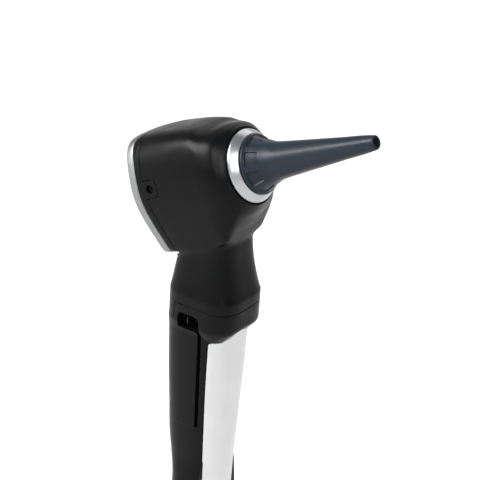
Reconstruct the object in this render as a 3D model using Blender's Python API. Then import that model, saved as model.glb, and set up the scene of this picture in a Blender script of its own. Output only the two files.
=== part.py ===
"""Pocket otoscope: battery handle, removable head, swivelling magnifier and push-on speculum.

World frame: Z runs up the handle, the speculum points to -Y, X is left to right.
The origin is the middle of the handle's flat base. All driving dimensions are in millimetres.
"""
import math

import bmesh
import bpy
import numpy as np
from mathutils import Matrix, Vector

MM = 0.001
GAP = 0.3

# Overall layout.
SEAM = 115.0                 # height of the joint between handle and head
CORE_Y = 0.5                 # battery and contact axis, a little behind the origin
OPTIC_TILT = 24.7            # optical axis above the horizontal, degrees
RING_Y = -9.1                # middle of the speculum ring
RING_RISE = 42.0             # its height above the seam

# Handle: height above the base, half width, front, rear, squareness of the outline.
HANDLE_STATIONS = (
    (0.0, 9.9, -7.8, 7.4, 2.8),
    (1.4, 10.8, -8.7, 8.3, 2.8),
    (12.0, 11.0, -8.8, 8.4, 2.8),
    (32.0, 11.0, -8.6, 7.8, 2.8),
    (48.0, 10.7, -8.1, 7.6, 2.7),
    (57.0, 10.0, -7.7, 7.9, 2.6),
    (65.0, 9.0, -7.4, 9.5, 2.6),
    (72.0, 9.15, -7.65, 10.45, 2.65),
    (80.0, 9.35, -7.9, 10.85, 2.7),
    (95.0, 9.65, -8.35, 11.5, 2.9),
    (106.8, 9.9, -8.5, 11.8, 3.0),
    (107.1, 9.95, -8.75, 11.75, 3.1),
    (109.0, 10.5, -10.95, 11.4, 3.4),
    (110.0, 10.6, -11.2, 11.2, 3.5),
    (114.7, 10.6, -11.2, 11.2, 3.5),
)
# Neck of the head: height above the seam, half width, front, rear, squareness.
NECK_STATIONS = (
    (0.0, 10.6, -11.2, 11.2, 3.5),
    (3.2, 10.6, -11.2, 11.2, 3.5),
    (8.0, 9.45, -9.85, 10.6, 3.5),
    (14.0, 8.55, -8.7, 9.9, 3.5),
    (20.0, 8.1, -8.1, 10.0, 3.5),
    (27.0, 7.6, -6.6, 9.0, 3.5),
)
# Head: distance along the optical axis, the reach of its top, upper side, lower side and
# bottom, then how far the outline has turned from rounded-square to round.
HEAD_STATIONS = (
    (-31.0, 14.85, 14.65, 14.8, 18.6, 0.1),
    (-26.0, 15.0, 14.85, 14.8, 18.8, 0.05),
    (-18.0, 14.7, 14.8, 14.6, 19.0, 0.0),
    (-10.0, 13.5, 14.3, 14.3, 18.9, 0.04),
    (-6.0, 11.8, 13.9, 14.0, 16.4, 0.3),
    (-3.0, 11.3, 13.3, 13.3, 13.6, 0.6),
    (-1.2, 11.0, 11.7, 12.0, 12.1, 0.9),
    (0.0, 10.6, 10.6, 10.6, 10.6, 1.0),
)
HEAD_WALLS = ((90, 1), (13, 2), (167, 2), (-19, 3), (199, 3))
HEAD_SQUARENESS = 10
FLOOR_SQUARENESS = 26        # the underside meets the sides at a sharper corner
HEAD_WALL = 1.8

# Rear of the head.
PARTING = -26.0              # head shell against rear frame
FRAME_BACK = -28.4           # rear frame against lens rim
RIM_BACK = -31.0
LENS_RADIUS = 10.2
LENS_PIVOT = 12.8            # swivel pin above the optical axis
LENS_SWING = -20.4           # the neck stays below this wherever the lens rim swings over it
PORT_AXIS = (1.0, -24.3)     # insufflation port: above the optical axis, along it
PORT_TAB = (2.4, -21.9)      # half height, front end
FRAME_SCREW = (6.4, -15.2)   # sideways, above the optical axis

# Front of the head.
SEAT_BORE = 7.2
SPECULUM_START = 3.1
SPECULUM_END = 40.7

# Switch lever in the back of the handle, and the thumb notch above it.
LEVER_TOP = 107.7
LEVER_FOOT = 77.3
LEVER_FRONT = -1.8
LEVER_WALL = 1.6
LEVER_HINGE_Y = 9.0
SLOT_WIDTH = 1.2
FOOT_GAP = 0.5
NOTCH_SPAN = (-2.2, 5.0)
NOTCH_TOP = 112.7
TAB_FRONT = 6.4
TAB_DEPTH = 5.2

# Front panel: its lower end stays straight while the handle flares around it.
PANEL_TOP = 106.7
PANEL_FOOT = 48.0
PANEL_SKIN = 0.8
PANEL_FLARE = 65.0
PANEL_FLARE_WIDTH = 8.6
PANEL_FOOT_FRONT = -6.95
PANEL_EDGES = ((48.0, -4.45), (65.0, -4.5), (86.0, -4.6), (107.0, -4.95))

# Inside the handle.
BORE = 5.75
CELL_RADIUS = 5.25
CELL_LENGTH = 44.5
CELL_START = 14.2
CAP_HEIGHT = 9.0
PLUG_RADIUS = 6.2
PLUG_TOP = 13.6
CHASSIS_BASE = 79.0
CHASSIS_FLOOR = 104.8
CHASSIS_SOCKET = 106.6
CHASSIS_TOP = 113.6
CHASSIS_BACK = 6.7

RING_POINTS = 40
TURN_POINTS = 28


def clear_scene():
    for item in list(bpy.data.objects):
        bpy.data.objects.remove(item, do_unlink=True)


def material(name, colour, roughness, metallic=0.0):
    made = bpy.data.materials.new(name)
    made.use_nodes = True
    shader = made.node_tree.nodes["Principled BSDF"]
    shader.inputs["Base Color"].default_value = (*colour, 1.0)
    shader.inputs["Roughness"].default_value = roughness
    shader.inputs["Metallic"].default_value = metallic
    return made


def frame_empty(name, location, tilt=0.0):
    empty = bpy.data.objects.new(name, None)
    empty.location = Vector(location) * MM
    empty.rotation_euler = (tilt, 0.0, 0.0)
    bpy.context.collection.objects.link(empty)
    return empty


def make_object(name, points, faces, finish=None, parent=None, crease=35.0):
    """A named mesh object; points are in millimetres in the parent's frame."""
    mesh = bpy.data.meshes.new(name)
    mesh.from_pydata([Vector(point) * MM for point in points], [], faces)
    work = bmesh.new()
    work.from_mesh(mesh)
    bmesh.ops.recalc_face_normals(work, faces=work.faces)
    work.to_mesh(mesh)
    work.free()
    mesh.shade_smooth()
    mesh.set_sharp_from_angle(angle=math.radians(crease))
    item = bpy.data.objects.new(name, mesh)
    bpy.context.collection.objects.link(item)
    item.parent = parent
    if finish:
        mesh.materials.append(finish)
    return item


def move_origin(item, point):
    """Put the object's origin on its joint axis without moving its shape."""
    shift = Vector(point) * MM
    item.data.transform(Matrix.Translation(-shift))
    item.location = shift


def loft(name, rings, finish=None, parent=None):
    """A closed solid through equal rings of points, with flat ends."""
    count = len(rings[0])
    points = [point for ring in rings for point in ring]
    faces = [tuple(range(count)), tuple(range(len(points) - count, len(points)))]
    for level in range(len(rings) - 1):
        base = level * count
        for here in range(count):
            after = (here + 1) % count
            faces.append((base + here, base + after, base + count + after, base + count + here))
    return make_object(name, points, faces, finish, parent)


def turned(name, profile, finish=None, parent=None, centre=(0.0, 0.0), steps=TURN_POINTS):
    """A turned solid about Z from a closed (radius, height) profile; radius 0 closes an end."""
    points = []
    columns = []
    for radius, height in profile:
        if radius == 0.0:
            columns.append([len(points)] * steps)
            points.append((centre[0], centre[1], height))
            continue
        columns.append(list(range(len(points), len(points) + steps)))
        for step in range(steps):
            angle = 2.0 * math.pi * step / steps
            x = centre[0] + radius * math.cos(angle)
            y = centre[1] + radius * math.sin(angle)
            points.append((x, y, height))
    faces = []
    for here, after in zip(columns, columns[1:] + columns[:1]):
        for step in range(steps):
            following = (step + 1) % steps
            corners = [here[step], here[following], after[following], after[step]]
            unique = list(dict.fromkeys(corners))
            if len(unique) > 2:
                faces.append(tuple(unique))
    return make_object(name, points, faces, finish, parent)


def disc(name, radius, low, high, finish=None, parent=None, centre=(0.0, 0.0), steps=TURN_POINTS):
    profile = ((0.0, low), (radius, low), (radius, high), (0.0, high))
    return turned(name, profile, finish, parent, centre, steps)


def tube(name, inner, outer, low, high, finish=None, parent=None, centre=(0.0, 0.0)):
    profile = ((inner, low), (outer, low), (outer, high), (inner, high))
    return turned(name, profile, finish, parent, centre)


def block(name, low, high, finish=None, parent=None):
    ring = ((low[0], low[1]), (high[0], low[1]), (high[0], high[1]), (low[0], high[1]))
    rings = [[(x, y, height) for x, y in ring] for height in (low[2], high[2])]
    return loft(name, rings, finish, parent)


def as_cutter(item):
    item.hide_render = True
    item.display_type = 'WIRE'
    return item


def combine(item, tool, operation):
    modifier = item.modifiers.new(operation.title(), 'BOOLEAN')
    modifier.operation = operation
    modifier.solver = 'EXACT'
    modifier.object = as_cutter(tool)


def cut(item, *tools):
    for tool in tools:
        combine(item, tool, 'DIFFERENCE')


def station(table, position):
    """The table's row at a position along it, straight between its stations."""
    columns = np.array(table).T
    return [float(np.interp(position, columns[0], column)) for column in columns[1:]]


def levels(table, low, high):
    """The two ends and every station between them."""
    inner = [row[0] for row in table if low < row[0] < high]
    return [low, *inner, high]


def squared_ring(row, height, inset=0.0, start=0.0, end=None):
    """A rounded-square outline, or the stretch of it between two angles."""
    half_width, front, rear, power = row
    middle = (front + rear) / 2.0
    reach_x = half_width - inset
    reach_y = (rear - front) / 2.0 - inset
    closed = end is None
    turn = 2.0 * math.pi if closed else end - start
    steps = RING_POINTS if closed else RING_POINTS // 2
    ring = []
    for step in range(steps if closed else steps + 1):
        angle = start + turn * step / steps
        across = math.copysign(abs(math.cos(angle)) ** (2.0 / power), math.cos(angle))
        along = math.copysign(abs(math.sin(angle)) ** (2.0 / power), math.sin(angle))
        ring.append((reach_x * across, middle + reach_y * along, height))
    return ring


def edge_angle(row, y, inset):
    """The outline's parameter angle where it crosses a given Y on the +X side."""
    half_width, front, rear, power = row
    share = (y - (front + rear) / 2.0) / ((rear - front) / 2.0 - inset)
    return math.copysign(math.asin(min(1.0, abs(share)) ** (power / 2.0)), share)


def open_ring(row, height, inset, y, rear_side):
    """The part of the outline behind (or ahead of) a given Y."""
    angle = edge_angle(row, y, inset)
    start, end = (angle, math.pi - angle) if rear_side else (-math.pi - angle, angle)
    return squared_ring(row, height, inset, start, end)


def handle_solid(name, low, high, inset=0.0, finish=None):
    rings = []
    for height in levels(HANDLE_STATIONS, low, high):
        rings.append(squared_ring(station(HANDLE_STATIONS, height), height, inset))
    return loft(name, rings, finish)


def wall_strip(name, low, high, outer, inner, edge, rear_side, finish=None, outline=None):
    """A strip of the handle's wall behind (or ahead of) an edge, between two insets."""
    outline = outline or handle_row
    rings = []
    for height in levels(HANDLE_STATIONS, low, high):
        row = outline(height)
        outside = open_ring(row, height, outer, edge(height), rear_side)
        inside = open_ring(row, height, inner, edge(height), rear_side)
        rings.append(outside + inside[::-1])
    return loft(name, rings, finish)


def handle_row(height):
    return station(HANDLE_STATIONS, height)


def panel_row(height):
    """The front panel follows the handle, but runs straight on where the handle flares."""
    row = handle_row(max(height, PANEL_FLARE))
    if height < PANEL_FLARE:
        front = np.interp(height, (PANEL_FOOT, PANEL_FLARE), (PANEL_FOOT_FRONT, row[1]))
        row = [PANEL_FLARE_WIDTH, float(front), *row[2:]]
    return row


def panel_edge(height):
    heights, edges = zip(*PANEL_EDGES)
    return float(np.interp(height, heights, edges))


def head_ring(position, inset=0.0):
    """The head's outline across the optical axis: four soft walls that turn round at the front."""
    *reach, roundness = station(HEAD_STATIONS, position)
    round_radius = sum(reach) / len(reach) - inset
    ring = []
    for step in range(RING_POINTS):
        angle = 2.0 * math.pi * (step + 0.5) / RING_POINTS
        total = 0.0
        for direction, column in HEAD_WALLS:
            facing = math.cos(angle - math.radians(direction))
            total += (max(0.0, facing) / (reach[column - 1] - inset)) ** HEAD_SQUARENESS
        floor = max(0.0, -math.sin(angle)) / (reach[3] - inset)
        total = total ** (FLOOR_SQUARENESS / HEAD_SQUARENESS) + floor ** FLOOR_SQUARENESS
        squared_radius = total ** (-1.0 / FLOOR_SQUARENESS)
        radius = squared_radius + roundness * (round_radius - squared_radius)
        ring.append((radius * math.cos(angle), radius * math.sin(angle), position))
    return ring


def head_solid(name, low, high, inset=0.0, finish=None):
    rings = [head_ring(position, inset) for position in levels(HEAD_STATIONS, low, high)]
    return loft(name, rings, finish, HEAD)


def rod(name, path, radius, finish):
    """A round rod along a smooth curve through a few points."""
    curve = bpy.data.curves.new(name, 'CURVE')
    curve.dimensions = '3D'
    curve.bevel_depth = radius * MM
    curve.bevel_resolution = 3
    curve.use_fill_caps = True
    spline = curve.splines.new('POLY')
    spline.points.add(len(path) - 1)
    for target, point in zip(spline.points, path):
        target.co = (*(Vector(point) * MM), 1.0)
    curve.materials.append(finish)
    item = bpy.data.objects.new(name, curve)
    bpy.context.collection.objects.link(item)
    return item


clear_scene()
HEAD = frame_empty("head_axis", (0.0, RING_Y, SEAM + RING_RISE), math.radians(90.0 - OPTIC_TILT))

BLACK = material("black_plastic", (0.022, 0.023, 0.025), 0.42)
SLATE = material("slate_plastic", (0.045, 0.060, 0.075), 0.35)
SILVER = material("satin_aluminium", (0.72, 0.73, 0.74), 0.38, 1.0)
GLASS = material("lens_glass", (0.85, 0.90, 0.92), 0.05)
STEEL = material("steel", (0.60, 0.60, 0.61), 0.30, 1.0)
BRASS = material("brass", (0.72, 0.55, 0.25), 0.32, 1.0)
BOARD = material("circuit_board", (0.05, 0.22, 0.09), 0.50)
CELL = material("cell_sleeve", (0.10, 0.16, 0.30), 0.40)
SEAL = material("black_rubber", (0.02, 0.02, 0.02), 0.75)
LIGHT = material("light_guide", (0.90, 0.90, 0.86), 0.15)


def build_head_shell():
    shell = head_solid("head_shell", PARTING, 0.0, finish=BLACK)
    rings = []
    for rise, *row in NECK_STATIONS:
        rings.append(squared_ring(row, SEAM + max(rise, GAP / 2.0)))
    combine(shell, loft("neck_form", rings), 'UNION')
    tab_low = SEAM - TAB_DEPTH
    tab = wall_strip("rear_tab_form", tab_low, SEAM + 1.0, 0.0, 2.0,
                     lambda height: TAB_FRONT + GAP, True)
    combine(shell, tab, 'UNION')
    over_neck = block("rear_trim", (-20.0, -19.1, -45.0), (20.0, 25.0, PARTING), parent=HEAD)
    swing = block("lens_swing", (-20.0, LENS_SWING, -45.0), (20.0, 25.0, FRAME_BACK), parent=HEAD)
    cavity = head_solid("head_cavity", PARTING - 0.5, -5.5, HEAD_WALL)
    neck_bore = disc("neck_bore", 6.3, SEAM - 1.0, SEAM + 21.0, centre=(0.0, CORE_Y))
    front_bore = disc("front_bore", SEAT_BORE, -8.0, 1.0, parent=HEAD)
    low, high = PORT_AXIS[0] - PORT_TAB[0] - GAP, PORT_AXIS[0] + PORT_TAB[0] + GAP
    pocket = block("tab_pocket", (-20.0, low, -30.0), (-11.6, high, PORT_TAB[1] + GAP), parent=HEAD)
    cut(shell, over_neck, swing, cavity, neck_bore, front_bore, pocket)
    for side in (-1.0, 1.0):
        centre = (side * FRAME_SCREW[0], FRAME_SCREW[1])
        boss = disc(f"screw_boss_{side:+.0f}", 2.4, -25.8, -18.0, parent=HEAD, centre=centre, steps=16)
        combine(shell, boss, 'UNION')
        pilot = disc(f"screw_pilot_{side:+.0f}", 1.15, -26.5, -19.5, parent=HEAD, centre=centre, steps=12)
        cut(shell, pilot)


def build_rear_frame():
    frame = head_solid("rear_frame", FRAME_BACK, PARTING - GAP, finish=BLACK)
    low, high = PORT_AXIS[0] - PORT_TAB[0], PORT_AXIS[0] + PORT_TAB[0]
    tab = head_solid("port_tab_form", PARTING - 1.5, PORT_TAB[1])
    tab_zone = block("port_tab_zone", (-20.0, low, -40.0), (-12.1, high, 0.0), parent=HEAD)
    combine(tab, tab_zone, 'INTERSECT')
    combine(frame, tab, 'UNION')
    opening = disc("frame_opening", 9.6, -40.0, -20.0, parent=HEAD)
    pin_hole = disc("frame_pin_hole", 1.5, -40.0, -20.0, parent=HEAD, centre=(0.0, LENS_PIVOT), steps=12)
    port = disc("port_hole", 1.5, -20.0, -5.0, steps=14, parent=port_frame())
    cut(frame, opening, pin_hole, port)
    for side in (-1.0, 1.0):
        centre = (side * FRAME_SCREW[0], FRAME_SCREW[1])
        profile = ((0.0, -29.0), (1.9, -29.0), (1.9, -27.6), (1.15, -27.6), (1.15, -25.0), (0.0, -25.0))
        counterbore = turned(f"frame_screw_hole_{side:+.0f}", profile, parent=HEAD, centre=centre, steps=16)
        cut(frame, counterbore)
        screw = ((0.0, -28.5), (1.6, -28.5), (1.6, -27.9), (0.8, -27.9), (0.8, -21.0), (0.0, -21.0))
        name = "frame_screw_left" if side < 0 else "frame_screw_right"
        turned(name, [(r, z + 0.15) for r, z in screw], STEEL, HEAD, centre, steps=16)


def port_frame():
    """A frame whose Z runs out of the head's left side, along the insufflation port."""
    empty = frame_empty("port_axis", (0.0, PORT_AXIS[0], PORT_AXIS[1]))
    empty.parent = HEAD
    empty.rotation_euler = (0.0, math.radians(90.0), 0.0)
    return empty


def build_port_nipple():
    tube("port_nipple", 0.75, 1.2, -13.9, -10.5, SEAL, port_frame())


def build_lens():
    pivot = (0.0, LENS_PIVOT, RIM_BACK)
    rim = head_solid("lens_rim", RIM_BACK, FRAME_BACK - GAP, finish=SILVER)
    seat = ((0.0, -32.0), (9.3, -32.0), (9.3, -30.6), (10.5, -30.6), (10.5, -28.0), (0.0, -28.0))
    seat_cut = turned("lens_seat_cut", seat, parent=HEAD, steps=40)
    pin_cut = disc("rim_pin_hole", 1.5, -40.0, -20.0, parent=HEAD, centre=(0.0, LENS_PIVOT), steps=12)
    cut(rim, seat_cut, pin_cut)
    move_origin(rim, pivot)
    glass = [(0.0, -30.75), (5.0, -30.62), (9.0, -30.25), (LENS_RADIUS, -30.05),
             (LENS_RADIUS, -29.35), (9.0, -29.2), (5.0, -28.98), (0.0, -28.9)]
    lens = turned("magnifier_lens", glass, GLASS, HEAD, steps=40)
    move_origin(lens, pivot)
    pin = ((0.0, -30.9), (1.2, -30.9), (1.2, -26.4), (0.0, -26.4))
    turned("lens_pivot_pin", pin, STEEL, HEAD, (0.0, LENS_PIVOT), steps=12)


def build_speculum_end():
    tube("speculum_ring", 7.5, 9.97, 0.3, 0.9, SILVER, HEAD)
    ring = bpy.data.objects["speculum_ring"]
    cone = turned("ring_cone_form", ((7.5, 0.6), (9.97, 0.6), (8.35, 2.7), (7.5, 2.7)), parent=HEAD)
    combine(ring, cone, 'UNION')
    seat = ((3.3, -4.0), (6.9, -4.0), (6.9, 2.4), (6.2, 2.9), (5.0, 5.6), (4.15, 8.6), (3.85, 10.0), (2.9, 10.0))
    turned("speculum_seat", seat, BLACK, HEAD)
    tube("fibre_ring", 2.9, 3.7, 10.3, 11.0, LIGHT, HEAD)
    outside = [(SPECULUM_START, 8.0), (3.8, 8.0), (4.2, 7.4), (7.4, 5.8), (9.9, 5.1), (19.3, 4.0),
               (SPECULUM_END - 0.4, 1.93), (SPECULUM_END, 1.6)]
    inside = [(SPECULUM_END, 1.35), (19.3, 3.15), (9.9, 4.3), (7.0, 5.0), (SPECULUM_START, 6.7)]
    profile = [(radius, height) for height, radius in outside + inside]
    turned("speculum", profile, SLATE, HEAD, steps=32)


def build_lamp():
    core = (0.0, CORE_Y)
    spigot = ((4.8, -6.5), (5.4, -6.5), (5.4, 0.3), (6.0, 0.3), (6.0, 3.0), (4.8, 3.0))
    turned("neck_spigot", [(r, SEAM + z) for r, z in spigot], STEEL, centre=core)
    tube("contact_insulator", 1.3, 4.5, SEAM - 5.0, SEAM - 2.0, SEAL, centre=core)
    disc("head_contact", 1.0, SEAM - 7.0, SEAM + 1.0, BRASS, centre=core, steps=16)
    disc("driver_board", 5.7, SEAM + 3.3, SEAM + 4.3, BOARD, centre=core)
    disc("heat_sink", 5.8, SEAM + 4.6, SEAM + 13.5, SILVER, centre=core)
    disc("led_board", 4.0, SEAM + 13.8, SEAM + 14.6, BOARD, centre=core)
    dome = ((0.0, 14.9), (1.7, 14.9), (1.7, 15.5), (1.2, 16.3), (0.0, 16.6))
    turned("led", [(r, SEAM + z) for r, z in dome], LIGHT, centre=core, steps=16)
    build_light_guide()


def build_light_guide():
    """A light guide that rises from the LED and bends forward to the foot of the speculum seat."""
    tilt = math.radians(OPTIC_TILT)
    start = Vector((0.0, CORE_Y, SEAM + 16.9))
    forward = Vector((0.0, -math.cos(tilt), math.sin(tilt)))
    upward = Vector((0.0, math.sin(tilt), math.cos(tilt)))
    end = Vector((0.0, RING_Y, SEAM + RING_RISE)) + forward * -4.6 + upward * -5.2
    rise = Vector((0.0, 0.0, 7.0))
    path = []
    steps = 8
    for step in range(steps + 1):
        t = step / steps
        weights = ((1 - t) ** 3, 3 * t * (1 - t) ** 2, 3 * t * t * (1 - t), t ** 3)
        corners = (start, start + rise, end - forward * 7.0, end)
        path.append(sum((corner * weight for corner, weight in zip(corners, weights)), Vector()))
    rod("light_guide", path, 1.1, LIGHT)


def build_handle_shell():
    """The black casing: bored for the cells, with a chamber, a lever opening and a panel bed."""
    core = (0.0, CORE_Y)
    shell = handle_solid("handle_shell", CAP_HEIGHT + GAP, SEAM - GAP / 2.0, finish=BLACK)
    socket = PLUG_RADIUS + GAP
    bore = ((0.0, 0.0), (socket, 0.0), (socket, CELL_START), (BORE, CELL_START),
            (BORE, CHASSIS_BASE), (0.0, CHASSIS_BASE))
    bore_cut = turned("battery_bore", bore, centre=core)
    chamber = handle_solid("chamber_form", CHASSIS_BASE - 0.5, SEAM + 2.0, 2.0)
    panel_bed = wall_strip("panel_bed_form", PANEL_FOOT - GAP, PANEL_TOP + GAP, -4.0, PANEL_SKIN + GAP,
                           lambda height: panel_edge(height) + GAP, False, outline=panel_row)
    lever_way = block("lever_way", (-20.0, LEVER_FRONT - SLOT_WIDTH, LEVER_FOOT - FOOT_GAP),
                      (20.0, 20.0, LEVER_TOP + GAP))
    tab_way = block("tab_way", (-20.0, TAB_FRONT, SEAM - TAB_DEPTH - GAP), (20.0, 20.0, SEAM + 5.0))
    notch = block("thumb_notch", (-20.0, NOTCH_SPAN[0], LEVER_TOP - 1.0),
                  (20.0, NOTCH_SPAN[1], NOTCH_TOP))
    cut(shell, chamber, bore_cut, panel_bed, lever_way, tab_way, notch)


def build_front_panel():
    wall_strip("front_panel", PANEL_FOOT, PANEL_TOP, 0.0, PANEL_SKIN, panel_edge, False, SILVER, panel_row)


def build_switch():
    lever = wall_strip("switch_lever", LEVER_FOOT, LEVER_TOP, 0.0, LEVER_WALL,
                       lambda height: LEVER_FRONT, True, BLACK)
    move_origin(lever, (0.0, LEVER_HINGE_Y, LEVER_FOOT))
    block("switch_board", (-4.5, 7.0, 88.0), (4.5, 7.6, 106.0), BOARD)
    body = block("tact_switch", (-3.0, 7.9, 99.0), (3.0, 9.0, 105.0), STEEL)
    axis = frame_empty("switch_axis", (0.0, 0.0, 102.0), math.radians(-90.0))
    cut(body, disc("plunger_way", 0.95, 7.0, 10.0, parent=axis, steps=16))
    plunger = disc("switch_plunger", 0.65, 8.45, 9.6, SEAL, axis, steps=16)
    return plunger


def build_chassis():
    """The inner carrier that holds the upper cell, the switch and the head's contact."""
    core = (0.0, CORE_Y)
    chassis = handle_solid("chassis", CHASSIS_BASE, CHASSIS_TOP, 2.5, BLACK)
    cell_bore = disc("chassis_bore", 5.6, 70.0, CHASSIS_FLOOR, centre=core)
    socket = disc("contact_socket", 5.8, CHASSIS_SOCKET, 120.0, centre=core)
    pin_way = disc("contact_way", 1.3, 100.0, 110.0, centre=core, steps=16)
    back = block("chassis_back", (-20.0, CHASSIS_BACK, 60.0), (20.0, 20.0, 130.0))
    cut(chassis, cell_bore, socket, pin_way, back)
    disc("battery_contact", 4.5, 103.9, 104.5, BRASS, centre=core)
    pin = ((0.0, 104.8), (0.9, 104.8), (0.9, 106.9), (2.5, 106.9), (2.5, 107.6), (0.0, 107.6))
    turned("centre_contact", pin, BRASS, centre=core, steps=20)


def build_cells():
    for name, low in (("battery_lower", CELL_START), ("battery_upper", CELL_START + CELL_LENGTH + GAP)):
        top = low + CELL_LENGTH
        profile = ((0.0, low), (CELL_RADIUS - 0.4, low), (CELL_RADIUS, low + 0.4),
                   (CELL_RADIUS, top - 1.3), (CELL_RADIUS - 0.5, top - 0.9), (1.8, top - 0.9),
                   (1.8, top), (0.0, top))
        turned(name, profile, CELL, centre=(0.0, CORE_Y))


def build_base_cap():
    core = (0.0, CORE_Y)
    cap = handle_solid("base_cap", 0.0, CAP_HEIGHT, finish=BLACK)
    groove = 5.4
    plug = ((0.0, 5.0), (PLUG_RADIUS, 5.0), (PLUG_RADIUS, 10.8), (groove, 10.8), (groove, 12.4),
            (PLUG_RADIUS, 12.4), (PLUG_RADIUS, PLUG_TOP), (0.0, PLUG_TOP))
    combine(cap, turned("plug_form", plug, centre=core), 'UNION')
    cut(cap, disc("spring_well", 4.8, 3.0, 20.0, centre=core))
    tube("base_seal", 5.65, 6.3, 11.0, 12.2, SEAL, centre=core)
    disc("cap_contact", 4.4, 3.3, 3.9, BRASS, centre=core)
    build_base_spring()


def build_base_spring():
    """The negative contact spring: four turns that narrow towards the cell."""
    turns, per_turn, wire = 4, 14, 0.4
    path = []
    for step in range(turns * per_turn + 1):
        share = step / (turns * per_turn)
        angle = 2.0 * math.pi * turns * share
        radius = 3.9 - 0.9 * share
        height = 4.7 + (13.3 - 4.7) * share
        path.append((radius * math.cos(angle), CORE_Y + radius * math.sin(angle), height))
    rod("base_spring", path, wire, STEEL)


build_head_shell()
build_rear_frame()
build_port_nipple()
build_lens()
build_speculum_end()
build_lamp()
build_handle_shell()
build_front_panel()
build_switch()
build_chassis()
build_cells()
build_base_cap()
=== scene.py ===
"""Looks for the pocket otoscope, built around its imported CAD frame.

World frame: Z runs up the handle, the speculum points to -Y. Lengths in the tables are in
millimetres. The head's own frame has X across, Y up and Z forward along the optical axis.
"""
import math

import bmesh
import bpy
import numpy as np
from mathutils import Matrix, Vector


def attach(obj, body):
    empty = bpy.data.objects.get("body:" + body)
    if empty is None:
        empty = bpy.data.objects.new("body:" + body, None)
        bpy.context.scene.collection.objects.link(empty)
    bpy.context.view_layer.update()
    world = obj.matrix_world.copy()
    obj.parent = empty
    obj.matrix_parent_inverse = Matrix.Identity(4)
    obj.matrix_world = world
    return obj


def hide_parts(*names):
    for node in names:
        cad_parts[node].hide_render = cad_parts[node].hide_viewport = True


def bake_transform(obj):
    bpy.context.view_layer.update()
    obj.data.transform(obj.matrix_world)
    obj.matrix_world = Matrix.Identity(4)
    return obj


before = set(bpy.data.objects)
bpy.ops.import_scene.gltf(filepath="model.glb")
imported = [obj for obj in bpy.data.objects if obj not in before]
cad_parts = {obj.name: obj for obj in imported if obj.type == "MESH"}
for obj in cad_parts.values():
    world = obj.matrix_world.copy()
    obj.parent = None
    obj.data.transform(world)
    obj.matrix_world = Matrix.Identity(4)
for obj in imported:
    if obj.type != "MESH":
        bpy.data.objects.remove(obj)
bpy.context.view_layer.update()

MM = 0.001
SEAM = 115.0
CORE_Y = 0.5
OPTIC_TILT = 24.7
HEAD_CENTRE = (0.0, -9.1, 157.0)

# Handle: height above the base, half width, front, rear, squareness of the outline.
HANDLE_STATIONS = (
    (0.0, 9.9, -7.8, 7.4, 2.8), (1.4, 10.8, -8.7, 8.3, 2.8), (12.0, 11.0, -8.8, 8.4, 2.8),
    (32.0, 11.0, -8.6, 7.8, 2.8), (48.0, 10.7, -8.1, 7.6, 2.7), (57.0, 10.0, -7.7, 7.9, 2.6),
    (65.0, 9.0, -7.4, 9.5, 2.6), (72.0, 9.15, -7.65, 10.45, 2.65), (80.0, 9.35, -7.9, 10.85, 2.7),
    (95.0, 9.65, -8.35, 11.5, 2.9), (106.8, 9.9, -8.5, 11.8, 3.0), (107.1, 9.95, -8.75, 11.75, 3.1),
    (109.0, 10.5, -10.95, 11.4, 3.4), (109.6, 10.6, -11.2, 11.3, 3.5),
    (112.0, 10.6, -11.2, 11.2, 3.5), (114.7, 10.6, -11.2, 11.2, 3.5),
)
# Neck: height above the seam, half width, front, rear, squareness. It starts inside the handle.
NECK_STATIONS = (
    (-7.0, 10.6, -11.2, 11.2, 3.5), (3.0, 10.6, -11.2, 11.2, 3.5), (3.6, 10.45, -11.0, 11.15, 3.5),
    (5.5, 9.95, -10.45, 10.9, 3.5), (8.0, 9.45, -9.85, 10.6, 3.5), (11.0, 8.95, -9.2, 10.2, 3.5),
    (14.0, 8.55, -8.7, 9.9, 3.5), (20.0, 8.1, -8.1, 10.0, 3.5), (27.0, 7.6, -6.6, 9.0, 3.5),
)
# Head: distance along the optical axis, the reach of its top, upper side, lower side and
# bottom, then how far the outline has turned from rounded-square to round.
HEAD_STATIONS = (
    (-31.0, 15.05, 14.65, 14.8, 18.6, 0.1), (-26.0, 15.2, 14.85, 14.8, 18.8, 0.05),
    (-18.0, 14.7, 14.8, 14.6, 19.0, 0.0), (-10.0, 13.5, 14.3, 14.3, 18.9, 0.04),
    (-6.0, 11.8, 13.9, 14.0, 16.4, 0.3), (-3.0, 11.3, 13.3, 13.3, 13.6, 0.6),
    (-1.2, 11.0, 11.7, 12.0, 12.1, 0.9), (0.0, 10.6, 10.6, 10.6, 10.6, 1.0),
)
# Flat walls of the head's outline: the direction each one faces, and its column of reach.
HEAD_SIDES = ((13, 1), (167, 1), (-19, 2), (199, 2))
HEAD_ROOF, HEAD_FLOOR = (90, 0), (270, 3)
# How sharply the walls meet: the sides first, then the roof, then the floor.
SIDE_SQUARENESS, ROOF_SQUARENESS, FLOOR_SQUARENESS = 10, 6.5, 26
HEAD_SPAN = (-29.0, 1.5)        # the raw head form along the optical axis
HEAD_WALL = 1.8
NECK_TOP = 26.0
NECK_BLEND = 2.0
NECK_BORE = (6.3, 21.0)         # radius, and height above the seam
VOXEL = 0.45

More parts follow.
